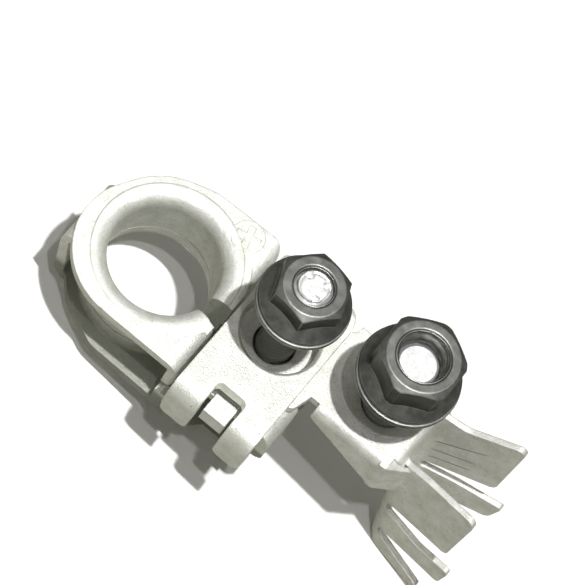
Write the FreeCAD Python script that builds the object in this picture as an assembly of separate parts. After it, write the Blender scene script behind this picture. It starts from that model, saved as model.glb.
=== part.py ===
# Battery terminal clamp for a vehicle battery, as a folded and plated sheet metal assembly.
# Millimetres. +Z is up along the post, +X runs from the bore towards the studs and the crimp barrel.
# Heights in the dimensions below start at the clamp's underside. The saved pieces are moved so that
# the origin is on the axis of the post bore, halfway up the parallel part of its wall.
import FreeCAD, Part
import math
import os

os.makedirs("parts", exist_ok=True)
V = FreeCAD.Vector

# Clamp body: two ring plates of one folded sheet
sheet = 1.6
body_top = 13.3
upper_ring_far_radius = 12.8
upper_ring_near_radius = 11.85
upper_ring_near_centre = (-1.9, -1.5)
lower_ring_radius = 12.75
land_radius = 8.81
land_z = (4.6, 9.4)
bore_taper = 1 / 18
collar_seam = 3.7
collar_seam_gap = 0.3
upper_lip_radius = 2.4
lower_lip_radius = 1.4
bead_flat = 0.65
lip_cover = 0.1
bead_radius = land_radius - (body_top - land_z[1]) * bore_taper + upper_lip_radius + bead_flat
bead_height = 0.15
fold_x = -14.0
fold_lean = 1.5
fold_y = (-7.5, 3.7)
fold_bend = 2.6
shoulder_x = 12.4
shoulder_y = (-13.4, 13.7)
shoulder_bend = 2.2
shoulder_wall = 6.0
slit_far_y = -0.15
slit_near_y = -3.1
slit_near_end_y = -4.3

# Shelf under the bracket, folded back from the lower ring plate
shelf_top = 11.8
shelf_x = (13.7, 29.2)
shelf_y = (-12.0, 10.1)
fold_near_slant = 2.2
ear_y = -15.3
tongue_x = (18.6, 22.6)
tongue_y = -15.4
lower_edge_y = -13.9
lower_edge_end_x = 17.8
corner_lug_x = (10.8, 12.7)
corner_lug_y = (-14.0, -12.2)
corner_lug_top = 5.0

# Pressing bracket
bracket_sheet = 2.3
bracket_top = 17.2
bracket_x = (13.0, 27.8)
bracket_hole = 6.0
bracket_rim = 0.5
leg_near_face = -17.6
leg_far_face = 12.4
leg_bend = 3.0
leg_tip = 8.7
near_legs_x = ((13.2, 18.0), (23.1, 27.7))
far_leg_x = (15.0, 23.4)
notch_y = -12.0

# Clamp stud and its nut
m6_x = 20.27
m6_y = 0.0
m6_radius = 3.0
m6_pitch = 1.0
m6_end = 35.5
m6_nut_base = 28.95
m6_flats = 10.0
m6_nut_height = 5.7
m6_flange_radius = 6.85
m6_washer_radius = 7.1
m6_washer = 0.8
m6_turned = math.degrees(4.023)
m6_head_side = 11.0
m6_head_height = 2.2

# Connector: plate, side flanges and crimp barrel of one sheet
connector_sheet = 1.5
connector_x = (14.5, 28.4, 43.2)
connector_y = (-4.1, 12.7)
connector_neck_y = (-6.5, 9.6)
connector_bend = 0.3
connector_end_x = 46.0
flange_start_x = 31.0
flange_end_x = 44.4
flange_depth_start = 2.9
flange_depth_end = 8.4
barrel_origin = (44.4, 4.3, 14.0)
barrel_lean = 9.0
barrel_sheet = 1.0
barrel_half_width = 3.75
barrel_corner = 2.6
barrel_flare = 12.0
barrel_length = 32.5
barrel_depth = 16.0
nose_drop = 5.3
nose_wall = 0.7
web_end_x = 47.6
web_drop = 0.4
web_slope = 2.6
web_shoulder = 1.0
web_deepens = 2.0

# Crimp grooves, as (place down the barrel at the wing's root, lean, reach up the wing)
groove_lines = ((9.6, 0.33, 9.8), (12.0, 0.18, 8.6), (14.4, 0.18, 8.2))
groove_start = 2.2
groove_width = 0.26
groove_depth = 0.15

# Each wing and its fingers, as (part of the barrel's length, part of its depth, rounding)
far_comb = [(0.028, -0.19), (0.028, 0.066, 2), (0.074, 0.344, 3), (0.02, 0.925, 1.2), (0.462, 0.778, 1.4),
            (0.498, 0.056, 0.6), (0.555, 0.056, 0.6), (0.572, 0.406), (0.624, 0.919, 0.6),
            (0.755, 0.813, 1.4), (0.742, 0.056, 0.7), (0.793, 0.056, 0.7), (0.855, 0.625, 0.6),
            (0.917, 0.613, 0.8), (0.945, 0.056), (0.945, -0.19)]
near_comb = [(0.028, -0.19), (0.028, 0.013), (0.08, 0.088, 0.8), (0.043, 0.375, 3), (0.004, 0.963, 1.2),
             (0.449, 0.8, 1.6), (0.514, 0.056, 1), (0.594, 0.056, 1), (0.622, 0.5), (0.582, 0.906, 0.6),
             (0.735, 0.831, 1.4), (0.788, 0.056, 0.7), (0.837, 0.056, 0.7), (0.948, 0.65, 0.6),
             (0.994, 0.631, 0.8), (0.96, 0.056), (0.96, -0.19)]

# Harness stud and its nut
m8_x = 38.35
m8_y = 4.3
m8_radius = 4.0
m8_pitch = 1.25
m8_end = 28.9
m8_nut_base = 23.7
m8_flats = 12.0
m8_corner_radius = 6.6
m8_nut_height = 7.3
m8_flange_radius = 7.7
m8_washer_radius = 7.95
m8_washer = 0.9
m8_turned = math.degrees(3.67)
m8_head_radius = 5.2
m8_head_height = 2.2

# Clearances
thread_gap = 0.1
stud_hole_gap = 0.3
stud_seat_gap = 0.05
washer_gap = 0.15
datum = (land_z[0] + land_z[1]) / 2


def box(x, y, z):
    return Part.makeBox(x[1] - x[0], y[1] - y[0], z[1] - z[0], V(x[0], y[0], z[0]))


def disc(radius, z0, z1, x=0.0, y=0.0):
    return Part.makeCylinder(radius, z1 - z0, V(x, y, z0))


def outline(corners):
    """Closed wire in XY through (x, y) or (x, y, radius) corners, with the corners rounded."""
    count = len(corners)
    edges = []
    first = None
    last = None
    for i in range(count):
        here = V(corners[i][0], corners[i][1], 0)
        radius = corners[i][2] if len(corners[i]) > 2 else 0
        if radius:
            before = corners[i - 1]
            after = corners[(i + 1) % count]
            to_before = (V(before[0], before[1], 0) - here).normalize()
            to_after = (V(after[0], after[1], 0) - here).normalize()
            half = to_before.getAngle(to_after) / 2
            reach = radius / math.tan(half)
            start = here + to_before * reach
            end = here + to_after * reach
            middle_way = (to_before + to_after).normalize()
            middle = here + middle_way * (radius / math.sin(half) - radius)
        else:
            start = here
            end = here
        if last is not None and last.distanceToPoint(start) > 1e-6:
            edges.append(Part.LineSegment(last, start).toShape())
        if first is None:
            first = start
        if radius:
            edges.append(Part.Arc(start, middle, end).toShape())
        last = end
    if last.distanceToPoint(first) > 1e-6:
        edges.append(Part.LineSegment(last, first).toShape())
    return Part.Wire(edges)


def prism(corners, z0, z1):
    shape = Part.Face(outline(corners)).extrude(V(0, 0, z1 - z0))
    shape.translate(V(0, 0, z0))
    return shape


def placed(shape, origin, across, along):
    """Moves a shape from the XY plane so that X lies along across and Y lies along along."""
    normal = across.cross(along)
    matrix = FreeCAD.Matrix(across.x, along.x, normal.x, origin.x,
                            across.y, along.y, normal.y, origin.y,
                            across.z, along.z, normal.z, origin.z,
                            0, 0, 0, 1)
    moved = shape.copy()
    moved.Placement = FreeCAD.Placement(matrix).multiply(shape.Placement)
    return moved


def side_profile(corners, y0, y1):
    """Extrudes an outline drawn in the XZ plane from y0 to y1."""
    shape = Part.Face(outline(corners)).extrude(V(0, 0, y1 - y0))
    return placed(shape, V(0, y1, 0), V(1, 0, 0), V(0, 0, 1))


def revolved(corners):
    """Turns an outline drawn as (radius, height) about the Z axis."""
    face = placed(Part.Face(outline(corners)), V(0, 0, 0), V(1, 0, 0), V(0, 0, 1))
    return face.revolve(V(0, 0, 0), V(0, 0, 1), 360)


def joined(shapes):
    whole = shapes[0]
    for shape in shapes[1:]:
        whole = whole.fuse(shape)
    return whole.removeSplitter()


def bore_radius(z):
    """Radius of the post bore at a height: a taper with a short parallel part in the middle."""
    low, high = land_z
    return land_radius + (max(low - z, 0) - max(z - high, 0)) * bore_taper


def upper_plate():
    bottom = body_top - sheet
    far_ring = disc(upper_ring_far_radius, bottom, body_top)
    near_ring = disc(upper_ring_near_radius, bottom, body_top, *upper_ring_near_centre)
    shoulders = prism([(upper_ring_near_centre[0], shoulder_y[0] + 0.05), (0, shoulder_y[0]),
                       (shoulder_x - shoulder_bend, shoulder_y[0]),
                       (shoulder_x - shoulder_bend, shoulder_y[1]), (-0.8, shoulder_y[1] - 0.4, 8),
                       (-5.3, 11.6), (-5.3, 0)], bottom, body_top)
    edge = side_profile([(shoulder_x - shoulder_bend - 1, body_top),
                         (shoulder_x, body_top, shoulder_bend),
                         (shoulder_x, body_top - shoulder_wall),
                         (shoulder_x - sheet, body_top - shoulder_wall),
                         (shoulder_x - sheet, body_top - sheet, 0.2),
                         (shoulder_x - shoulder_bend - 1, body_top - sheet)],
                        shoulder_y[0], shoulder_y[1])
    plan = prism([(-20, -20), (0, -20), (0, shoulder_y[0]), (shoulder_x, shoulder_y[0], 0.8),
                  (shoulder_x, shoulder_y[1], 2.4), (0, shoulder_y[1] - 0.3), (0, 20), (-20, 20)],
                 0, body_top + 1)
    return joined([far_ring, near_ring, shoulders, edge]).common(plan)


def lower_plate():
    ring = disc(lower_ring_radius, 0, sheet)
    floor = prism([(-4.6, -11.9), (-1.0, lower_edge_y + 0.3, 5), (lower_edge_end_x, lower_edge_y, 1.6),
                   (lower_edge_end_x + 1.6, shelf_y[0]), (shelf_x[1] - fold_bend, shelf_y[0]),
                   (shelf_x[1] - fold_bend, shelf_y[1]), (shelf_x[0], shelf_y[1]),
                   (shoulder_x, -lower_edge_y, 1.5), (-1.0, -lower_edge_y - 0.3, 5), (-4.6, 11.9)],
                  0, sheet)
    lug = box(corner_lug_x, corner_lug_y, (0, corner_lug_top))
    return joined([ring, floor, lug])


def left_fold():
    """The bend that joins the two ring plates at the far end from the studs."""
    top = fold_x
    bottom = fold_x + fold_lean
    inner = fold_bend - sheet
    reach = -bead_radius + 2.5
    outer = [(top, body_top, fold_bend), (bottom, 0, fold_bend), (reach, 0), (reach, body_top)]
    hollow = [(top + sheet, body_top - sheet, inner), (bottom + sheet, sheet, inner),
              (reach + 1, sheet), (reach + 1, body_top - sheet)]
    fold = side_profile(outer, *fold_y).cut(side_profile(hollow, fold_y[0] - 1, fold_y[1] + 1))
    return fold.cut(disc(bead_radius - 0.05, -1, body_top + 1))


def shelf():
    """The lower plate folded up and back over itself, which carries the stud and the connector."""
    far = shelf_x[1]
    inner = fold_bend - sheet
    reach = far - fold_bend - 2
    outer = [(far, shelf_top, fold_bend), (far, 0, fold_bend), (reach, 0), (reach, shelf_top)]
    hollow = [(far - sheet, shelf_top - sheet, inner), (far - sheet, sheet, inner),
              (reach - 1, sheet), (reach - 1, shelf_top - sheet)]
    fold = side_profile(outer, *shelf_y).cut(side_profile(hollow, shelf_y[0] - 1, shelf_y[1] + 1))
    near = shelf_y[0]
    slant = prism([(near - 1, -1), (near + fold_near_slant, -1), (near, shelf_top - fold_bend),
                   (near - 1, shelf_top - fold_bend)], far - fold_bend, far + 1)
    fold = fold.cut(placed(slant, V(0, 0, 0), V(0, 1, 0), V(0, 0, 1)))
    plate = box((shelf_x[0], reach + 1), shelf_y, (shelf_top - sheet, shelf_top))
    ears = [box((x[0] + 0.8, x[1] - 0.6), (ear_y, shelf_y[0]), (shelf_top - sheet, shelf_top))
            for x in near_legs_x]
    tongue = box(tongue_x, (tongue_y, shelf_y[0]), (shelf_top - sheet, shelf_top + 1.5))
    return joined([fold, plate, tongue] + ears)


def collars():
    """The drawn collars round the bore: a long upper one and a short lower one that meet."""
    low = collar_seam + collar_seam_gap / 2
    high = body_top + bead_height
    lip = bore_radius(body_top)
    chamfer = upper_lip_radius - sheet
    upper = revolved([(bore_radius(low), low), (bore_radius(low) + sheet, low),
                      (lip + sheet, body_top - sheet - chamfer), (lip + sheet + chamfer, body_top - sheet),
                      (bead_radius, body_top - sheet), (bead_radius, high - 0.1), (bead_radius - 0.1, high),
                      (lip, high, upper_lip_radius), (land_radius, land_z[1]), (land_radius, land_z[0])])
    top = collar_seam - collar_seam_gap / 2
    foot = bore_radius(0)
    lip = lower_lip_radius
    lower = revolved([(foot, lip), (foot + 0.1 * lip, 0.5 * lip), (foot + 0.5 * lip, 0.1 * lip),
                      (foot + lip, 0), (bead_radius, 0), (bead_radius, sheet), (foot + sheet, sheet),
                      (bore_radius(top) + sheet, top), (bore_radius(top), top)])
    return upper, lower


def lip_space():
    """The room over the collar's rounded lip, kept a little way into the sheet."""
    lip = bore_radius(body_top) + lip_cover
    high = body_top - lip_cover
    far = lip + upper_lip_radius + lip_cover
    return revolved([(0, land_z[1]), (lip, land_z[1]), (lip, high, upper_lip_radius), (far, high),
                     (far, body_top + 1), (0, body_top + 1)])


def slit_walls():
    """The collar's drawn wall carries on along both sides of the slit, under the rounded lip."""
    z = (collar_seam + collar_seam_gap / 2, body_top)
    end = shoulder_x - 0.4
    start = bore_radius(0)
    far = box((start, end), (slit_far_y, slit_far_y + sheet), z)
    near = prism([(start - 0.8, slit_near_y - 0.1), (end, slit_near_end_y), (end, slit_near_end_y - sheet),
                  (start - 0.8, slit_near_y - sheet)], *z)
    return [far.cut(lip_space()), near.cut(lip_space())]


def clamp_body():
    upper_collar, lower_collar = collars()
    bore = disc(bead_radius - 0.05, -1, body_top + 1)
    upper = upper_plate().cut(bore)
    lower = lower_plate().cut(bore)
    body = joined([upper, lower, left_fold(), upper_collar, lower_collar, shelf()] + slit_walls())
    slit = prism([(2, slit_far_y), (40, slit_far_y), (40, slit_near_end_y), (shoulder_x, slit_near_end_y),
                  (bore_radius(0) - 0.8, slit_near_y), (2, slit_near_y)], -1, body_top + 2)
    stud_hole = disc(m6_radius + stud_hole_gap, shelf_top - sheet - 1, shelf_top + 1, m6_x, m6_y)
    clear = revolved([(0, -1), (bore_radius(-1), -1), (land_radius, land_z[0]), (land_radius, land_z[1]),
                      (bore_radius(body_top + 1), body_top + 1), (0, body_top + 1)])
    return body.cut(slit).cut(stud_hole).cut(clear)


def bracket():
    """The plate that the clamp nut presses down, with bent legs astride the shelf."""
    bottom = bracket_top - bracket_sheet
    inner = leg_bend - bracket_sheet
    side = [(leg_near_face, leg_tip), (leg_near_face, bracket_top, leg_bend),
            (leg_far_face, bracket_top, leg_bend), (leg_far_face, leg_tip),
            (leg_far_face - bracket_sheet, leg_tip), (leg_far_face - bracket_sheet, bottom, inner),
            (leg_near_face + bracket_sheet, bottom, inner), (leg_near_face + bracket_sheet, leg_tip)]
    face = Part.Face(outline(side))
    bent = placed(face.extrude(V(0, 0, bracket_x[1] - bracket_x[0])), V(bracket_x[0], 0, 0),
                  V(0, 1, 0), V(0, 0, 1))
    near_a, near_b = near_legs_x
    plan = prism([(bracket_x[0], -16.2), (near_a[0], -20), (near_a[1], -20), (near_a[1], notch_y, 0.8),
                  (near_b[0], notch_y, 0.8), (near_b[0], -20), (near_b[1], -20), (bracket_x[1], -16.2),
                  (bracket_x[1], leg_far_face - 2.2, 3.6), (far_leg_x[1], leg_far_face - 0.8),
                  (far_leg_x[1], 20), (far_leg_x[0], 20), (far_leg_x[0], leg_far_face - 0.8),
                  (bracket_x[0], leg_far_face - 1.2, 2.0)], 0, bracket_top + 1)
    shape = bent.common(plan)
    for x in near_legs_x:
        middle = (x[0] + x[1]) / 2
        half = (x[1] - x[0]) / 2
        tip = side_tip(middle, half, leg_near_face - 1, leg_near_face + bracket_sheet + 1)
        shape = shape.cut(tip)
    hole = disc(bracket_hole, bottom - 1, bracket_top + 1, m6_x, m6_y)
    rim = Part.makeCone(bracket_hole, bracket_hole + 2 * bracket_rim, 2 * bracket_rim,
                        V(m6_x, m6_y, bracket_top - bracket_rim))
    return shape.cut(hole).cut(rim)


def side_tip(middle, half, y0, y1):
    """What rounds off the two lower corners of a leg."""
    block = box((middle - half - 1, middle + half + 1), (y0, y1), (leg_tip - 1, leg_tip + 2))
    rounded = side_profile([(middle - half, leg_tip + 6), (middle + half, leg_tip + 6),
                            (middle + half, leg_tip, 1.2), (middle - half, leg_tip, 1.2)], y0 - 1, y1 + 1)
    return block.cut(rounded)


def stud(radius, foot, end, pitch, x, y):
    """A plain shank at the thread's outer size, with its end chamfered."""
    chamfer = 0.6 * pitch
    shank = revolved([(0, foot), (radius, foot), (radius, end - chamfer), (radius - chamfer, end), (0, end)])
    shank.translate(V(x, y, 0))
    return shank


def clamp_stud():
    top = shelf_top - sheet
    half = m6_head_side / 2
    head = prism([(m6_x - half, m6_y - half, 1), (m6_x + half, m6_y - half, 1),
                  (m6_x + half, m6_y + half, 1), (m6_x - half, m6_y + half, 1)], top - m6_head_height, top)
    return joined([head, stud(m6_radius - thread_gap, top - 1, m6_end, m6_pitch, m6_x, m6_y)])


def harness_stud():
    top = body_top - connector_sheet
    head = disc(m8_head_radius, top - m8_head_height, top, m8_x, m8_y)
    return joined([head, stud(m8_radius - thread_gap, top - 1, m8_end, m8_pitch, m8_x, m8_y)])


def flange_nut(x, y, base, flats, corner, height, flange, bore, turned):
    """Hexagon nut with a coned flange, chamfered top corners and a countersunk thread."""
    across = flats / math.sqrt(3)
    points = [(across * math.cos(math.radians(turned + 60 * k)),
               across * math.sin(math.radians(turned + 60 * k))) for k in range(6)]
    hexagon = prism(points, 0, height)
    edge = 0.12 * flange
    top_round = 0.46 * flats
    slope = (corner - top_round) * math.tan(math.radians(30))
    envelope = revolved([(0, 0), (corner, 0), (corner, height - slope), (top_round, height), (0, height)])
    skirt = revolved([(0, 0), (flange - 0.2, 0), (flange, 0.2), (flange, edge),
                      (flats / 2 - 0.2, edge + 1.9), (0, edge + 1.9)])
    sink = 0.35
    thread = revolved([(0, -1), (bore + sink + 1, -1), (bore, sink), (bore, height - sink),
                       (bore + sink + 1, height + 1), (0, height + 1)])
    nut = joined([hexagon.common(envelope), skirt]).cut(thread)
    nut.translate(V(x, y, base))
    return nut


def cone_washer(x, y, base, radius, bore, thickness):
    """Captive conical washer, which stands slightly hollow under the nut."""
    dish = 0.25
    ring = revolved([(bore, dish), (radius, 0), (radius, thickness - 0.1), (radius - 0.1, thickness),
                     (bore, thickness)])
    ring.translate(V(x, y, base))
    return ring


def clamp_washer():
    return cone_washer(m6_x, m6_y, m6_nut_base, m6_washer_radius, m6_radius + washer_gap, m6_washer)


def clamp_nut():
    return flange_nut(m6_x, m6_y, m6_nut_base + m6_washer, m6_flats, m6_flats / math.sqrt(3),
                      m6_nut_height, m6_flange_radius, m6_radius, m6_turned)


def harness_washer():
    return cone_washer(m8_x, m8_y, m8_nut_base, m8_washer_radius, m8_radius + washer_gap, m8_washer)


def harness_nut():
    return flange_nut(m8_x, m8_y, m8_nut_base + m8_washer, m8_flats, m8_corner_radius,
                      m8_nut_height, m8_flange_radius, m8_radius, m8_turned)


def barrel_axes():
    lean = math.radians(barrel_lean)
    down = V(math.sin(lean), 0, -math.cos(lean))
    out = V(math.cos(lean), 0, math.sin(lean))
    return down, out


def channel(leg):
    """The open U of the barrel: floor, two rounded corners and two flared sides of one sheet."""
    flare = math.radians(barrel_flare)
    down, out = barrel_axes()
    t = barrel_sheet
    half = barrel_half_width
    rise = math.tan(flare)
    inner = half + leg * rise
    outer = t / math.cos(flare)
    corner = half + outer - t * rise
    section = [(leg, inner), (0, half, barrel_corner), (0, -half, barrel_corner), (leg, -inner),
               (leg, -inner - outer), (-t, -corner, barrel_corner + t), (-t, corner, barrel_corner + t),
               (leg, inner + outer)]
    face = Part.Face(outline(section))
    start = V(*barrel_origin) + down * barrel_length
    return placed(face.extrude(V(0, 0, barrel_length)), start, out, V(0, 1, 0))


def comb(side, teeth):
    """One half of the barrel as seen square to its side: down the barrel, and out from its floor."""
    down, out = barrel_axes()
    corners = [(at[0] * barrel_length, at[1] * barrel_depth) + at[2:] for at in teeth]
    slab = Part.Face(outline(corners)).extrude(V(0, 0, barrel_depth))
    if side > 0:
        slab.translate(V(0, 0, -barrel_depth))
    return placed(slab, V(*barrel_origin), down, out)


def barrel():
    return channel(barrel_depth).common(joined([comb(1, far_comb), comb(-1, near_comb)]))


def grooves():
    """Shallow lines in the far wing's inner face, which bite into the cable's strands."""
    flare = math.radians(barrel_flare)
    down, out = barrel_axes()
    up_wing = out * math.cos(flare) + V(0, math.sin(flare), 0)
    root_line = V(*barrel_origin) + V(0, barrel_half_width, 0)
    half = groove_width / 2
    strips = []
    for root, lean, reach in groove_lines:
        start, end = [(root - lean * out_by, out_by / math.cos(flare)) for out_by in (groove_start, reach)]
        strip = prism([(start[0] - half, start[1]), (start[0] + half, start[1]),
                       (end[0] + half, end[1]), (end[0] - half, end[1])], -groove_depth, 0.5)
        strips.append(placed(strip, root_line, down, up_wing))
    return strips


def connector():
    """Flat plate with side flanges that bends down into an open crimp barrel."""
    top = body_top
    bottom = body_top - connector_sheet
    start, neck, bend = connector_x
    y0, y1 = connector_y
    inset = connector_bend + connector_sheet
    plate = prism([(start, connector_neck_y[0], 1), (neck, connector_neck_y[0], 1),
                   (neck + 1.0, y0 + inset - 0.5), (bend, y0 + inset - 0.5), (bend, y1 - inset + 0.5),
                   (neck + 0.2, y1 - inset + 0.5), (neck, connector_neck_y[1], 1),
                   (start, connector_neck_y[1], 1)], bottom, top)
    parts = [plate, rolled_edge(-1), rolled_edge(1), nose(), web(-1), web(1), barrel()]
    shape = joined(parts)
    holes = [disc(m6_radius + stud_hole_gap, bottom - 1, top + 1, m6_x, m6_y),
             disc(m8_radius - thread_gap + stud_seat_gap, bottom - 1, top + 1, m8_x, m8_y)]
    for cutter in holes + grooves():
        shape = shape.cut(cutter)
    return shape


def rolled_edge(side):
    """Side flange of the connector: rolled over the edge and deeper towards the barrel."""
    face_y = connector_y[0] if side < 0 else connector_y[1]
    t = connector_sheet
    outer = connector_bend + t
    inside = face_y - side * t
    section = [(face_y - side * outer - side, body_top), (face_y, body_top, outer), (face_y, 0), (inside, 0),
               (inside, body_top - t, connector_bend), (face_y - side * outer - side, body_top - t)]
    length = flange_end_x - flange_start_x
    strip = Part.Face(outline(section)).extrude(V(0, 0, length))
    strip = placed(strip, V(flange_start_x, 0, 0), V(0, 1, 0), V(0, 0, 1))
    taper = side_profile([(flange_start_x, body_top + 1), (flange_end_x, body_top + 1),
                          (flange_end_x, body_top - flange_depth_end),
                          (flange_start_x, body_top - flange_depth_start, 1)],
                         connector_y[0] - 1, connector_y[1] + 1)
    return strip.common(taper)


def nose():
    """The plate's end, bent down into the floor of the barrel."""
    end = connector_end_x
    t = connector_sheet
    foot = body_top - nose_drop
    lean = math.tan(math.radians(barrel_lean))
    floor = barrel_origin[0] + (barrel_origin[2] - foot) * lean
    start = connector_x[2] - 1
    bend = side_profile([(start, body_top), (end, body_top, t), (end - 0.2, body_top - 1.6 * t, t),
                         (floor, foot), (floor - nose_wall, foot), (floor - 1.1, body_top - t, 0.3),
                         (start, body_top - t)], *connector_y)
    inset = connector_bend + t
    near = connector_y[0] + inset
    far = connector_y[1] - inset
    plan = prism([(start, near), (end, near + 0.4, 1.2), (end, far - 0.2, 1.8), (start, far)],
                 0, body_top + 1)
    return bend.common(plan)


def web(side):
    """Joins the end of a side flange to the side of the barrel."""
    y = connector_y[0] if side < 0 else connector_y[1]
    middle = barrel_origin[1]
    t = connector_sheet - 0.3
    reach = barrel_half_width + 1.5
    top = body_top - web_drop
    foot = body_top - flange_depth_end
    low = foot - web_deepens
    start = flange_end_x - 1.2
    wall = prism([(start, y), (flange_end_x, y, 1), (web_end_x, middle + side * reach),
                  (web_end_x, middle + side * (reach - 0.8)), (flange_end_x, y - side * t, 0.3),
                  (start, y - side * t)], low, top)
    shoulder = prism([(start, y), (flange_end_x, y, 1), (web_end_x, middle + side * reach),
                      (web_end_x, middle + side * (reach - web_shoulder)), (start, y - side * 3)],
                     top - t, top)
    side_view = side_profile([(start - 1, top), (flange_end_x, top), (web_end_x + 1, top - web_slope),
                              (web_end_x + 1, low), (web_end_x, low), (flange_end_x, foot),
                              (start - 1, foot)], -20, 30)
    return joined([wall, shoulder]).common(side_view)


pieces = {
    "clamp_body": clamp_body,
    "bracket": bracket,
    "clamp_stud": clamp_stud,
    "clamp_washer": clamp_washer,
    "clamp_nut": clamp_nut,
    "connector": connector,
    "harness_stud": harness_stud,
    "harness_washer": harness_washer,
    "harness_nut": harness_nut,
}

for name, make in pieces.items():
    shape = make()
    shape.translate(V(0, 0, -datum))
    print(name, "valid", shape.isValid(), "solids", len(shape.Solids), "volume", round(shape.Volume, 1))
    shape.exportStep("parts/" + name + ".step")
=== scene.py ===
# %% [markdown]
# # A battery terminal clamp
# The clamp grips the post of a vehicle's battery. It is pressed from sheet: a split ring, a bracket that a
# nut pulls down to close the ring, and a flat connector with a second stud and an open barrel for the cable.
# The solids come from the construction source as a fixed frame. This lesson gives them their finishes, adds
# the screw threads and the small stamped and staked details, and sets up the light and the camera.

# %% Load the frame
import bpy
import math
from mathutils import Matrix, Vector


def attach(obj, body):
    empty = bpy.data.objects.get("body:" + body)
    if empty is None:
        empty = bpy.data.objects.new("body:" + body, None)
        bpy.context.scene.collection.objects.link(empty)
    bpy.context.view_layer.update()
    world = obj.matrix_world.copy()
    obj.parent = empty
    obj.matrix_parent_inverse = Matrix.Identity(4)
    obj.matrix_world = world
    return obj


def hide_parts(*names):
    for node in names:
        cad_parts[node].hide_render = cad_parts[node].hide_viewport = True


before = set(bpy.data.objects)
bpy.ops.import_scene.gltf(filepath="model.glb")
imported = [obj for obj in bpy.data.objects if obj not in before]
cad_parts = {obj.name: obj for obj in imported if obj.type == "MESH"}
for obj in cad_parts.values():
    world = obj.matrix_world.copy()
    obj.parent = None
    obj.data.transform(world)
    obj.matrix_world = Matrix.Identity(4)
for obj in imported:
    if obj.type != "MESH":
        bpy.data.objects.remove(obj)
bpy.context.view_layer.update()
mm = 0.001
# The origin is halfway up the bore, on its axis.
print("pieces in the frame:", ", ".join(sorted(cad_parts)))

# %% [markdown]
# ## The camera
# A product picture like this is taken from far away with a long lens, so that lines that are parallel on the
# clamp stay almost parallel in the picture. The camera's place, the point that it looks at and the direction
# that is up in the picture fix it completely.

# %% Camera
camera_place = Vector((0.0390, -0.2250, 0.4623))
camera_target = Vector((0.0163, 0.0092, 0.0030))
picture_up = Vector((-0.6354, 0.6748, 0.3754))
lens_mm = 214.4
film_mm = 36.0

camera_data = bpy.data.cameras.new("camera")
camera_data.lens = lens_mm
camera_data.sensor_width = film_mm
camera_data.clip_start = 0.01
camera_data.clip_end = 20.0
camera = bpy.data.objects.new("camera", camera_data)
bpy.context.scene.collection.objects.link(camera)

back = (camera_place - camera_target).normalized()
right = picture_up.cross(back).normalized()
up = back.cross(right)
turn = Matrix((right, up, back)).transposed().to_4x4()
camera.matrix_world = Matrix.Translation(camera_place) @ turn
bpy.context.scene.camera = camera
print("camera stands", round((camera_place - camera_target).length / mm), "mm away")

# %% [markdown]
# ## Helpers for nodes
# Every finish here is built from nodes that read the place of a point on the piece, so no picture is needed.
# These helpers keep the later cells short. The first two make an empty material and add a node, and the
# others add one kind of node each, or calculate with what nodes give.


# %% Node helpers
def new_material(name):
    material = bpy.data.materials.new(name)
    material.use_nodes = True
    material.node_tree.nodes.clear()
    return material, material.node_tree


def add(tree, kind, inputs=None, **settings):
    """Adds a node. An input can be a value or another node's output."""
    node = tree.nodes.new(kind)
    for key, value in settings.items():
        setattr(node, key, value)
    for key, value in (inputs or {}).items():
        if isinstance(value, bpy.types.NodeSocket):
            tree.links.new(value, node.inputs[key])
        else:
            node.inputs[key].default_value = value
    return node


def place_on(tree):
    """The place of a point, as the piece's own coordinates."""
    return add(tree, "ShaderNodeTexCoord").outputs["Object"]


def split(tree, vector):
    return add(tree, "ShaderNodeSeparateXYZ", {0: vector}).outputs


def calc(tree, operation, *values):
    return add(tree, "ShaderNodeMath", dict(enumerate(values)), operation=operation).outputs[0]


def measure(tree, operation, *vectors):
    """A number from vectors: a length or a dot product."""
    node = add(tree, "ShaderNodeVectorMath", dict(enumerate(vectors)), operation=operation)
    return node.outputs["Value"]


def between(tree, value, low, high, most=1.0):
    """The most where a value is past high, nothing before low, and a straight slope between them."""
    inputs = {"Value": value, "From Min": low, "From Max": high, "To Max": most}
    return add(tree, "ShaderNodeMapRange", inputs).outputs["Result"]


def noise(tree, place, grain_mm, detail=3.0, roughness=0.55):
    inputs = {"Vector": place, "Scale": 1 / (grain_mm * mm), "Detail": detail, "Roughness": roughness}
    return add(tree, "ShaderNodeTexNoise", inputs).outputs["Fac"]


def uneven(tree, place, grain_mm, low, high):
    """A value that drifts between low and high, in patches of the grain's size."""
    inputs = {"Value": noise(tree, place, grain_mm), "To Min": low, "To Max": high}
    return add(tree, "ShaderNodeMapRange", inputs).outputs["Result"]


def ramp(tree, value, stops):
    """A colour or a grey for each value, from stops with straight slopes between them."""
    node = add(tree, "ShaderNodeValToRGB", {"Fac": value})
    while len(node.color_ramp.elements) < len(stops):
        node.color_ramp.elements.new(0.5)
    for element, (position, colour) in zip(node.color_ramp.elements, stops):
        element.position = position
        element.color = (*colour, 1.0) if isinstance(colour, tuple) else (colour, colour, colour, 1.0)
    return node.outputs["Color"]


def mix(tree, factor, first, second, blend="MIX"):
    """The first colour where the factor is nothing and the second where it is one, or their product."""
    inputs = {"Factor": factor}
    for key, side in (("A", first), ("B", second)):
        inputs[key] = side if isinstance(side, bpy.types.NodeSocket) else (*side, 1.0)
    return add(tree, "ShaderNodeMix", inputs, data_type="RGBA", blend_type=blend).outputs["Result"]


def mix_shaders(tree, factor, first, second):
    return add(tree, "ShaderNodeMixShader", {"Fac": factor, 1: first, 2: second}).outputs[0]


print("node helpers ready")

# %% [markdown]
# ## What all the metals share
# A pressed or turned edge is never razor sharp, so a bevel node rounds the edges in the shading. A bump of a
# noise gives the grain, whose size, detail and roughness stand together as one setting.

# %% Metal helpers
edge_rounding = 0.30 * mm


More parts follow.
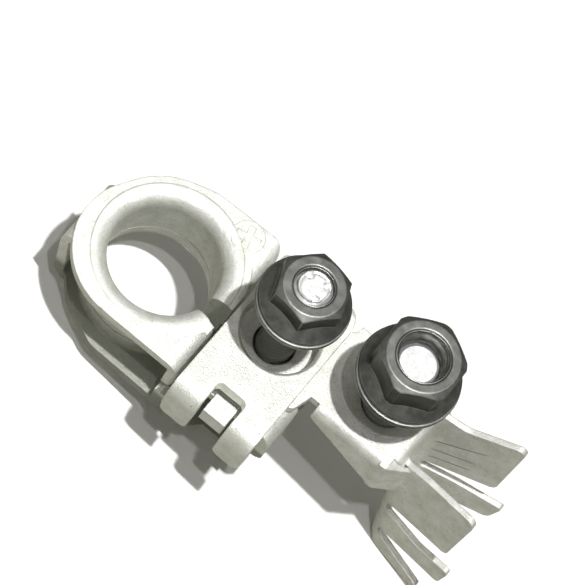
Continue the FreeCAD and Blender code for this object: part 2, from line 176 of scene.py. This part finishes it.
def rounded_edges(tree):
    return add(tree, "ShaderNodeBevel", {"Radius": edge_rounding}, samples=6).outputs["Normal"]


def bump(tree, place, grain, strength, height_mm, normal=None):
    inputs = {"Strength": strength, "Distance": height_mm * mm, "Height": noise(tree, place, *grain)}
    if normal is not None:
        inputs["Normal"] = normal
    return add(tree, "ShaderNodeBump", inputs).outputs["Normal"]


def finish_metal(tree, colour, rough, normal, metallic):
    inputs = {"Base Color": colour, "Roughness": rough, "Normal": normal, "Metallic": metallic}
    shader = add(tree, "ShaderNodeBsdfPrincipled", inputs)
    add(tree, "ShaderNodeOutputMaterial", {"Surface": shader.outputs["BSDF"]})


print("edges are rounded by", edge_rounding / mm, "mm")

# %% [markdown]
# ## Painted shade in the grooves and on the lower ring plate
# The far wing of the barrel has three shallow grooves on its inner face, which bite into the cable's strands.
# The solid has them cut in, and here they only get a painted shade along them. Each is a straight line
# from the wing's root towards its tip, leaning a little up the barrel: its place is how far it lies down the
# barrel, less its lean times the way out. The painted shade that the ring casts on the lower ring plate is
# found in the same way, by place.

# %% Masks by place
barrel_top = Vector((44.4, 4.3, 7.0)) * mm
barrel_lean = math.radians(9.0)
down_barrel = Vector((math.sin(barrel_lean), 0.0, -math.cos(barrel_lean)))
out_of_barrel = Vector((math.cos(barrel_lean), 0.0, math.sin(barrel_lean)))
wing_flare = math.tan(math.radians(12.0))
inner_face = 3.75 * mm
face_skin = (inner_face + 0.6 * mm, inner_face + 0.3 * mm)
far_side = (1.2 * mm, 2.0 * mm)
# Each groove: how far down the barrel it starts, its lean, and how far out it reaches.
groove_lines = ((9.6 * mm, 0.33, 9.8 * mm), (12.0 * mm, 0.18, 8.6 * mm), (14.4 * mm, 0.18, 8.2 * mm))
groove_core = (0.156 * mm, 0.13 * mm)
groove_start = (1.4 * mm, 2.2 * mm)
groove_fade = 1.0 * mm
# Painted shade: how dark the grooves are painted.
groove_shade_share = 0.7
# Painted shade on the lower ring plate, where the ring above shades it: its heights, its radii and how dark it
# is.
below_plate = (-2.0 * mm, -3.5 * mm)
outside_bore = (10.4 * mm, 11.2 * mm)
ring_shade_share = 0.8


def along(tree, place, direction):
    offset = add(tree, "ShaderNodeVectorMath", {0: place, 1: barrel_top}, operation="SUBTRACT")
    return measure(tree, "DOT_PRODUCT", offset.outputs["Vector"], direction)


def painted_groove_shade(tree, place):
    """The share of painted shade in the grooves of the far wing's inner face, nothing elsewhere."""
    depth = along(tree, place, down_barrel)
    out = along(tree, place, out_of_barrel)
    outside_grooves = 1.0
    for root, lean, reach in groove_lines:
        line = calc(tree, "ADD", depth, calc(tree, "MULTIPLY", out, lean))
        distance = calc(tree, "ABSOLUTE", calc(tree, "SUBTRACT", line, root))
        length = calc(tree, "MULTIPLY", between(tree, out, *groove_start),
                      between(tree, out, reach, reach - groove_fade))
        groove = calc(tree, "MULTIPLY", between(tree, distance, *groove_core), length)
        outside_grooves = calc(tree, "MULTIPLY", outside_grooves, calc(tree, "SUBTRACT", 1.0, groove))
    sideways = along(tree, place, Vector((0.0, 1.0, 0.0)))
    from_face = calc(tree, "SUBTRACT", sideways, calc(tree, "MULTIPLY", out, wing_flare))
    on_face = calc(tree, "MULTIPLY", between(tree, sideways, *far_side), between(tree, from_face, *face_skin))
    shaded = calc(tree, "MULTIPLY", calc(tree, "SUBTRACT", 1.0, outside_grooves), on_face)
    return calc(tree, "MULTIPLY", shaded, groove_shade_share)


def painted_ring_shade(tree, place):
    """The share of painted shade on the lower ring plate outside the bore, nothing elsewhere."""
    parts = split(tree, place)
    flat = add(tree, "ShaderNodeCombineXYZ", {"X": parts["X"], "Y": parts["Y"]})
    radius = measure(tree, "LENGTH", flat.outputs["Vector"])
    shade_here = calc(tree, "MULTIPLY", between(tree, parts["Z"], *below_plate),
                between(tree, radius, *outside_bore))
    return calc(tree, "MULTIPLY", ring_shade_share, shade_here)


print("dirty grooves:", len(groove_lines))

# %% [markdown]
# ## The tin plate
# The pressed pieces are plated with matt tin. It is bright but not a mirror: a fine grain breaks up its
# reflections, the tone drifts in soft clouds, and small dark pits and larger spots of grime are scattered
# over it. The grain is one bump, and long low waves are a second one over it.

# %% Tin plate
# The colour of the painted shade on the lower ring plate.
ring_shade_colour = (0.27, 0.275, 0.235)
# The colour of the painted shade in the grooves.
groove_shade_colour = (0.16, 0.16, 0.14)
marks_share = 0.9


def tin_plate(name, cloud_low, cloud_high, grooves=False, shade_under_ring=False):
    material, tree = new_material(name)
    place = place_on(tree)
    clouds = ramp(tree, noise(tree, place, 3.0, detail=4.0), [(0.35, cloud_low), (0.65, cloud_high)])
    pits = ramp(tree, noise(tree, place, 0.22, roughness=0.6), [(0.30, 0.45), (0.38, 1.0)])
    grime = ramp(tree, noise(tree, place, 0.8, detail=6.0, roughness=0.75), [(0.30, 0.74), (0.46, 1.0)])
    marks = mix(tree, 1.0, pits, grime, "MULTIPLY")
    colour = mix(tree, marks_share, clouds, marks, "MULTIPLY")
    # Painted shade: the lower ring plate outside the bore is darkened where the ring above shades it.
    if shade_under_ring:
        colour = mix(tree, painted_ring_shade(tree, place), colour, ring_shade_colour)
    # Painted shade: the grooves are darkened along their lines.
    if grooves:
        colour = mix(tree, painted_groove_shade(tree, place), colour, groove_shade_colour)
    grained = bump(tree, place, (0.26, 4.0, 0.65), strength=1.0, height_mm=0.11, normal=rounded_edges(tree))
    waved = bump(tree, place, (2.2, 2.0), strength=0.5, height_mm=0.10, normal=grained)
    finish_metal(tree, colour, uneven(tree, place, 1.2, 0.46, 0.62), waved, metallic=0.7)
    return material


ring_tin = tin_plate("ring_tin", (0.79, 0.80, 0.74), (0.92, 0.92, 0.88), shade_under_ring=True)
bracket_tin = tin_plate("bracket_tin", (0.77, 0.78, 0.71), (0.90, 0.90, 0.86))
connector_tin = tin_plate("connector_tin", (0.76, 0.76, 0.71), (0.92, 0.91, 0.88), grooves=True)
print("tin finishes:", ring_tin.name, bracket_tin.name, connector_tin.name)

# %% [markdown]
# ## Dark plated nuts
# The nuts and their washers have a dark, slightly oily plating. It is a dull metal with soft highlights. Its
# upright flats are painted darker than its top, a painted shade, and its corners are lighter, partly wear and
# partly a painted highlight. The rounded edges find those corners: where the rounded direction differs from
# the true one, the point is near an edge.

# %% Dark plate
# Painted shade: how much darker the upright flats are painted than the top.
flat_shade_share = 0.42
upright_to_level = (0.25, 0.6)
# Lighter corners, partly wear and partly a painted highlight.
true_to_edge = (0.995, 0.9)
edge_wear_and_highlight_share = 0.6


def dark_plate(name, tone, edge_wear_and_highlight):
    material, tree = new_material(name)
    place = place_on(tree)
    rounded = rounded_edges(tree)
    facing = add(tree, "ShaderNodeNewGeometry").outputs["Normal"]
    # Corners lighter: partly wear, partly a painted highlight along the edges.
    edge = between(tree, measure(tree, "DOT_PRODUCT", rounded, facing), *true_to_edge, most=edge_wear_and_highlight_share)
    # Painted shade: the upright flats get a darker colour than the top.
    level = between(tree, calc(tree, "ABSOLUTE", split(tree, facing)["Z"]), *upright_to_level)
    face = ramp(tree, level, [(0.0, tuple(flat_shade_share * part for part in tone)), (1.0, tone)])
    smudges = ramp(tree, noise(tree, place, 1.6, detail=4.0), [(0.35, 0.75), (0.7, 1.2)])
    colour = mix(tree, edge, mix(tree, 1.0, face, smudges, "MULTIPLY"), edge_wear_and_highlight)
    grained = bump(tree, place, (0.22, 3.0), strength=0.25, height_mm=0.04, normal=rounded)
    finish_metal(tree, colour, uneven(tree, place, 0.8, 0.36, 0.50), grained, metallic=0.9)
    return material


nut_plate = dark_plate("nut_plate", (0.21, 0.21, 0.20), (0.55, 0.55, 0.52))
washer_plate = dark_plate("washer_plate", (0.24, 0.24, 0.23), (0.60, 0.60, 0.57))
print("dark finishes:", nut_plate.name, washer_plate.name)

# %% [markdown]
# ## Bright studs
# The studs are steel. Their ends are bright, and the shank below the nut is painted dark, a painted shade of
# the nut above it, so the colour changes with the height on the piece, over one millimetre.

# %% Bright steel
# The colour of the painted shade on the shank below the nut.
shank_shade_colour = (0.22, 0.22, 0.20)
shade_fade = 1.0 * mm


def bright_steel(name, shade_below):
    material, tree = new_material(name)
    place = place_on(tree)
    spots = ramp(tree, noise(tree, place, 0.7), [(0.3, 0.72), (0.6, 0.93)])
    # Painted shade: below the given height the shank takes the dark colour.
    above_shade = between(tree, split(tree, place)["Z"], shade_below - shade_fade, shade_below)
    grained = bump(tree, place, (0.15, 2.0), strength=0.2, height_mm=0.03)
    finish_metal(tree, mix(tree, above_shade, shank_shade_colour, spots), uneven(tree, place, 0.5, 0.36, 0.5), grained,
                 metallic=0.75)
    return material


stud_steel = {"clamp": bright_steel("clamp_stud_steel", 26.0 * mm),
              "harness": bright_steel("harness_stud_steel", 18.6 * mm)}
print("bright finishes:", ", ".join(material.name for material in stud_steel.values()))

# %% [markdown]
# ## Dressing the frame
# The solids already have the right shapes, so each keeps its mesh and only gets a finish.

# %% Give the solids their finishes
finishes = {"clamp_body": ring_tin, "bracket": bracket_tin, "connector": connector_tin,
            "clamp_washer": washer_plate, "harness_washer": washer_plate,
            "clamp_nut": nut_plate, "harness_nut": nut_plate,
            "clamp_stud": stud_steel["clamp"], "harness_stud": stud_steel["harness"]}
for node_name, material in finishes.items():
    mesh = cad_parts[node_name].data
    mesh.materials.clear()
    mesh.materials.append(material)
print("dressed", len(finishes), "pieces")

# %% [markdown]
# ## Screw threads
# A thread is a ridge that climbs one pitch in each turn. Both the stud's thread and the nut's are made from
# the same rule: the radius at a point depends on how far it lies, in turns, from the ridge. A sheet of points
# in rings is wrapped round the axis with that radius. The nut's rule is the stud's with a little room, so the
# two mesh, and the nut stays in mesh while it turns down the stud.

# %% Thread rule
ring_points = 64
rows_per_pitch = 12
crest_share = 0.15
flank_share = 0.65


def thread_radius(turns, height, pitch, outer, depth):
    """Radius at an angle in turns and a height: a ridge with a flat crest and a flat root."""
    phase = (height / pitch - turns) % 1.0
    from_crest = 1.0 - abs(phase - 0.5) * 2.0
    return outer - depth * min(max((from_crest - crest_share) / flank_share, 0.0), 1.0)


def ring_row(centre, height, radius_at):
    """A ring of points round an axis. The rule gives the radius for an angle in turns."""
    row = []
    for k in range(ring_points):
        angle = 2 * math.pi * k / ring_points
        radius = radius_at(k / ring_points)
        row.append((centre.x + radius * math.cos(angle), centre.y + radius * math.sin(angle), height))
    return row


def ring_mesh(name, rows, closed):
    """Joins each ring of points to the next. A closed mesh joins its last to its first, another is capped."""
    count = len(rows[0])
    last = count * (len(rows) - 1)
    pairs = [(low, low + count) for low in range(0, last, count)]
    if closed:
        pairs.append((last, 0))
    faces = [(low + k, low + (k + 1) % count, high + (k + 1) % count, high + k)
             for low, high in pairs for k in range(count)]
    if not closed:
        faces.append(tuple(range(count - 1, -1, -1)))
        faces.append(tuple(range(last, last + count)))
    mesh = bpy.data.meshes.new(name)
    mesh.from_pydata([point for row in rows for point in row], [], faces)
    mesh.validate()
    return mesh


print("thread rule at the crest and the root of a 1 mm pitch:",
      [round(thread_radius(t, 0.0, 1.0, 3.0, 0.6), 2) for t in (0.0, 0.5)])

# %% [markdown]
# ## The studs
# Each stud replaces its plain solid, so it is built whole: the head under the sheet, then the threaded shank,
# whose crests follow a chamfer at the end. The clamp's stud is staked at three places at its end, so that the
# nut can't be lost. There the end face is punched in, and a shallow ring runs round it just inside the rim.

# %% Stud measures
stud_axis = {"clamp": Vector((20.27, 0.0, 0.0)) * mm, "harness": Vector((38.35, 4.3, 0.0)) * mm}
stud_head_low = {"clamp": 1.0 * mm, "harness": 2.6 * mm}
stud_foot = {"clamp": 3.2 * mm, "harness": 4.8 * mm}
stud_end = {"clamp": 28.5 * mm, "harness": 21.9 * mm}
end_face = {"clamp": 2.35 * mm, "harness": 2.8 * mm}
end_slope = {"clamp": 0.7 * mm, "harness": 1.1 * mm}
thread_outer = {"clamp": 2.95 * mm, "harness": 3.93 * mm}
thread_depth = {"clamp": 0.55 * mm, "harness": 0.68 * mm}
thread_pitch = {"clamp": 1.0 * mm, "harness": 1.25 * mm}
# The places and sizes on the end face are parts of its radius.
end_rings = 15
stake_angles = (44.0, 148.0, 313.0)
stake_place, stake_size, stake_deep = 0.84, 0.30, 0.55 * mm
rim_ring_place, rim_ring_size, rim_ring_deep = 0.86, 0.07, 0.10 * mm
print("stud lengths in mm:", [round((stud_end[which] - stud_head_low[which]) / mm, 1) for which in stud_end])


# %% Stud rows
def stake_dent(x, y, radius):
    """How deep a point of the end face lies in the punch marks, as a part of their depth."""
    dent = 0.0
    for angle in stake_angles:
        spot_x = radius * stake_place * math.cos(math.radians(angle))
        spot_y = radius * stake_place * math.sin(math.radians(angle))
        distance = math.hypot(x - spot_x, y - spot_y) / (stake_size * radius)
        dent = max(dent, 1.0 - min(distance, 1.0) ** 2)
    return dent


def end_rows(which):
    """Rings from the rim of the stud's end to its middle, dented where it is staked."""
    centre, rim = stud_axis[which], end_face[which]
    rows = []
    for step in range(1, end_rings):
        radius = rim * (1 - step / end_rings)
        row = []
        for k in range(ring_points):
            angle = 2 * math.pi * k / ring_points
            x, y = radius * math.cos(angle), radius * math.sin(angle)
            dent = 0.0
            if which == "clamp":
                in_ring = max(0.0, 1.0 - abs(radius / rim - rim_ring_place) / rim_ring_size)
                dent = max(stake_dent(x, y, rim) * stake_deep, in_ring * rim_ring_deep)
            row.append((centre.x + x, centre.y + y, stud_end[which] - dent))
        rows.append(row)
    return rows


def shank_rows(which):
    """Rings up the shank. The thread starts half a pitch above the foot and is full at one and a half."""
    pitch, outer, depth = thread_pitch[which], thread_outer[which], thread_depth[which]
    foot, end = stud_foot[which], stud_end[which]
    count = round((end - foot) / pitch * rows_per_pitch)
    rows = []
    for i in range(count + 1):
        height = foot + (end - foot) * i / count
        chamfer = outer - (outer - end_face[which]) * max(0.0, 1.0 - (end - height) / end_slope[which])
        fade = min(1.0, max(0.0, (height - foot) / pitch - 0.5))
        rows.append(ring_row(stud_axis[which], height, lambda turns: min(
            chamfer, thread_radius(turns, height, pitch, outer, depth * fade))))
    return rows


print("rings on a shank:", {which: len(shank_rows(which)) for which in stud_axis})

# %% [markdown]
# The clamp stud's head is square, with rounded corners, so that it can't turn under the shelf. The other
# stud's head is round and pressed into the connector. The lower edge of both is chamfered.

# %% Stud heads and studs
square_half = 5.5 * mm
square_corner = 1.0 * mm
round_head = 5.2 * mm
head_edge = 0.25 * mm
crease_angle = math.radians(38.0)


def square_row(height, inset):
    half = square_half - inset

    def reach(turns):
        angle = 2 * math.pi * turns
        side = half / max(abs(math.cos(angle)), abs(math.sin(angle)))
        return min(side, (half - square_corner) * math.sqrt(2) + square_corner)

    return ring_row(stud_axis["clamp"], height, reach)


def round_row(height, inset):
    return ring_row(stud_axis["harness"], height, lambda turns: round_head - inset)


def stud_mesh(which, head_row):
    low = stud_head_low[which]
    head = [head_row(low, head_edge), head_row(low + head_edge, 0.0), head_row(stud_foot[which], 0.0)]
    return ring_mesh(which + "_stud_threaded", head + shank_rows(which) + end_rows(which), closed=False)


def add_piece(mesh, material, body):
    mesh.materials.append(material)
    piece = bpy.data.objects.new(mesh.name, mesh)
    bpy.context.scene.collection.objects.link(piece)
    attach(piece, body)
    return piece


def smooth_by_angle(mesh):
    mesh.polygons.foreach_set("use_smooth", [True] * len(mesh.polygons))
    mesh.set_sharp_from_angle(angle=crease_angle)


for which, head_row in (("clamp", square_row), ("harness", round_row)):
    mesh = stud_mesh(which, head_row)
    smooth_by_angle(mesh)
    piece = add_piece(mesh, stud_steel[which], "clamp")
    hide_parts(which + "_stud")
    print(piece.name, len(mesh.polygons), "faces")

# %% [markdown]
# ## The nuts' threads
# A nut's thread shows in its open bore. It is a thin sleeve inside the solid nut: its inner wall follows the
# stud's thread with a little room, and flares at both ends like the countersink. Its outer wall lies hidden
# in the solid.

# %% Nut threads
nut_span = {"clamp": (22.78 * mm, 28.40 * mm), "harness": (17.63 * mm, 24.87 * mm)}
nut_bore = {"clamp": 3.0 * mm, "harness": 4.0 * mm}
thread_room = 0.10 * mm
countersink = 0.45 * mm
sleeve_wall = 0.15 * mm
sleeve_inset = 0.3 * mm


def nut_thread_mesh(which):
    centre, bore = stud_axis[which], nut_bore[which]
    low, high = nut_span[which]
    pitch, outer, depth = thread_pitch[which], thread_outer[which], thread_depth[which]
    count = round((high - low) / pitch * rows_per_pitch)
    rows = []
    for i in range(count + 1):
        height = low + (high - low) * i / count
        flare = bore - max(0.0, min(height - low, high - height) - countersink)
        rows.append(ring_row(centre, height, lambda turns: min(bore, max(
            flare, thread_radius(turns, height, pitch, outer, depth) + thread_room))))
    for height in (high - sleeve_inset, low + sleeve_inset):
        rows.append(ring_row(centre, height, lambda turns: bore + sleeve_wall))
    mesh = ring_mesh(which + "_nut_thread", rows, closed=True)
    mesh.flip_normals()
    return mesh


for which in ("clamp", "harness"):
    mesh = nut_thread_mesh(which)
    smooth_by_angle(mesh)
    piece = add_piece(mesh, nut_plate, which + "_nut")
    print(piece.name, len(mesh.polygons), "faces")

# %% [markdown]
# ## The polarity mark
# A plus in a circle, stamped beside the bore, tells which post the clamp belongs on. It is raised by a tenth
# of a millimetre. The plus and the ring are flat outlines with a small sloped edge.

# %% Polarity mark
mark_place = Vector((7.1, 10.8, 6.3)) * mm
mark_turn = math.radians(13.0)
mark_sink = -0.05 * mm
mark_height = 0.10 * mm
mark_slope = 0.10 * mm
plus_half = 0.62 * mm
plus_reach = 2.05 * mm
circle_points = 48
circle_steps = ((2.75 * mm, mark_sink), (2.70 * mm, mark_height),
                (2.55 * mm, mark_height), (2.50 * mm, mark_sink))


def turned(x, y, height):
    cosine, sine = math.cos(mark_turn), math.sin(mark_turn)
    return mark_place.x + x * cosine - y * sine, mark_place.y + x * sine + y * cosine, mark_place.z + height


def plus_row(inset, height):
    w, r = plus_half - inset, plus_reach - inset
    corners = [(r, -w), (r, w), (w, w), (w, r), (-w, r), (-w, w), (-r, w), (-r, -w), (-w, -w), (-w, -r),
               (w, -r), (w, -w)]
    return [turned(x, y, height) for x, y in corners]


def circle_row(radius, height):
    angles = [2 * math.pi * k / circle_points for k in range(circle_points)]
    return [turned(radius * math.cos(angle), radius * math.sin(angle), height) for angle in angles]


plus = ring_mesh("polarity_plus", [plus_row(0.0, mark_sink), plus_row(mark_slope, mark_height)], closed=False)
circle = ring_mesh("polarity_ring", [circle_row(*step) for step in circle_steps], closed=True)
for mesh in (plus, circle):
    add_piece(mesh, ring_tin, "clamp")
    print(mesh.name, len(mesh.polygons), "faces")

# %% [markdown]
# ## The floor
# The clamp lies tilted on a pale table: the lowest finger of the barrel touches it, and the ring stands a few
# millimetres above it, as the shadows show. In the clamp's own frame the table therefore slopes, both towards
# the barrel and away from the near side. The clamp sees the table darker than the camera does, as the table
# beside a small part in a studio lies half in shade. Far from the clamp the table fades to plain white in the
# picture, and that white lights nothing, because only the camera sees it.

# %% Floor
table_up = Vector((0.178, 0.273, 1.0)).normalized()
table_middle = Vector((0.02, 0.0, 0.0))
table_for_clamp = (0.32, 0.32, 0.28)
table_for_camera = (0.97, 0.965, 0.95)
fade_to_white = (0.11, 0.30)
lowest = min(table_up.dot(v.co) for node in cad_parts.values() for v in node.data.vertices)

bpy.ops.mesh.primitive_plane_add(size=1.6)
floor = bpy.context.object
floor.name = "floor"
floor.rotation_euler = table_up.to_track_quat("Z", "X").to_euler()
floor.location = table_middle + table_up * (lowest - table_middle.dot(table_up))
print("the table slopes by", round(math.degrees(math.acos(table_up.z)), 1), "degrees")

floor_material, tree = new_material("pale_table")
seen_directly = add(tree, "ShaderNodeLightPath").outputs["Is Camera Ray"]
table_colour = mix(tree, seen_directly, table_for_clamp, table_for_camera)
pale = add(tree, "ShaderNodeBsdfDiffuse", {"Color": table_colour})
from_middle = measure(tree, "LENGTH", place_on(tree))
fade = calc(tree, "MULTIPLY", between(tree, from_middle, *fade_to_white), seen_directly)
blank = add(tree, "ShaderNodeEmission", {"Color": (1.0, 1.0, 1.0, 1.0), "Strength": 1.0})
table = mix_shaders(tree, fade, pale.outputs["BSDF"], blank.outputs["Emission"])
add(tree, "ShaderNodeOutputMaterial", {"Surface": table})
floor.data.materials.append(floor_material)

# %% [markdown]
# ## Light
# One lamp hangs nearly above and throws the crisp shadows, and a weak second one softens them on one side.
# Metal mirrors a dim studio sky: grey overhead, for the pressed faces, and darker towards the horizon, which
# gives the walls and the nuts' flats their tone. Matt surfaces get a low, even share of light from all round,
# and the camera itself sees white behind the table.

# %% Lamps
lamp_target = Vector((20.0, 0.0, 1.0)) * mm
lamp_distance = 1.0
lamp_width = 0.035


def add_lamp(name, direction, power):
    lamp_data = bpy.data.lights.new(name, "AREA")
    lamp_data.shape = "DISK"
    lamp_data.size = lamp_width
    lamp_data.energy = power
    lamp = bpy.data.objects.new(name, lamp_data)
    lamp.location = lamp_target + direction.normalized() * lamp_distance
    lamp.rotation_euler = direction.to_track_quat("Z", "Y").to_euler()
    bpy.context.scene.collection.objects.link(lamp)
    return lamp


main_lamp = add_lamp("main_lamp", Vector((0.155, -0.075, 1.0)), 10.0)
weak_lamp = add_lamp("weak_lamp", Vector((0.09, -0.26, 1.0)), 1.5)
print("lamps:", main_lamp.name, weak_lamp.name)

# %% World
sky_steps = [(0.0, (0.08, 0.08, 0.07)), (0.35, (0.14, 0.14, 0.125)), (0.65, (0.25, 0.25, 0.23)),
             (0.90, (0.32, 0.32, 0.30))]
matt_colour = (1.0, 0.99, 0.88, 1.0)
matt_strength = 0.19


def background(tree, colour, strength):
    return add(tree, "ShaderNodeBackground", {"Color": colour, "Strength": strength}).outputs[0]


world = bpy.data.worlds.new("studio")
bpy.context.scene.world = world
world.use_nodes = True
tree = world.node_tree
tree.nodes.clear()
direction = add(tree, "ShaderNodeTexCoord").outputs["Generated"]
sky = background(tree, ramp(tree, split(tree, direction)["Z"], sky_steps), 1.0)
matt = background(tree, matt_colour, matt_strength)
white = background(tree, (1.0, 1.0, 1.0, 1.0), 1.0)
path = add(tree, "ShaderNodeLightPath").outputs
mirrored = calc(tree, "MAXIMUM", path["Is Glossy Ray"], path["Is Transmission Ray"])
shown = mix_shaders(tree, path["Is Camera Ray"], mix_shaders(tree, mirrored, matt, sky), white)
add(tree, "ShaderNodeOutputWorld", {"Surface": shown})
bpy.context.scene.view_settings.view_transform = "Standard"
print("world ready:", world.name)
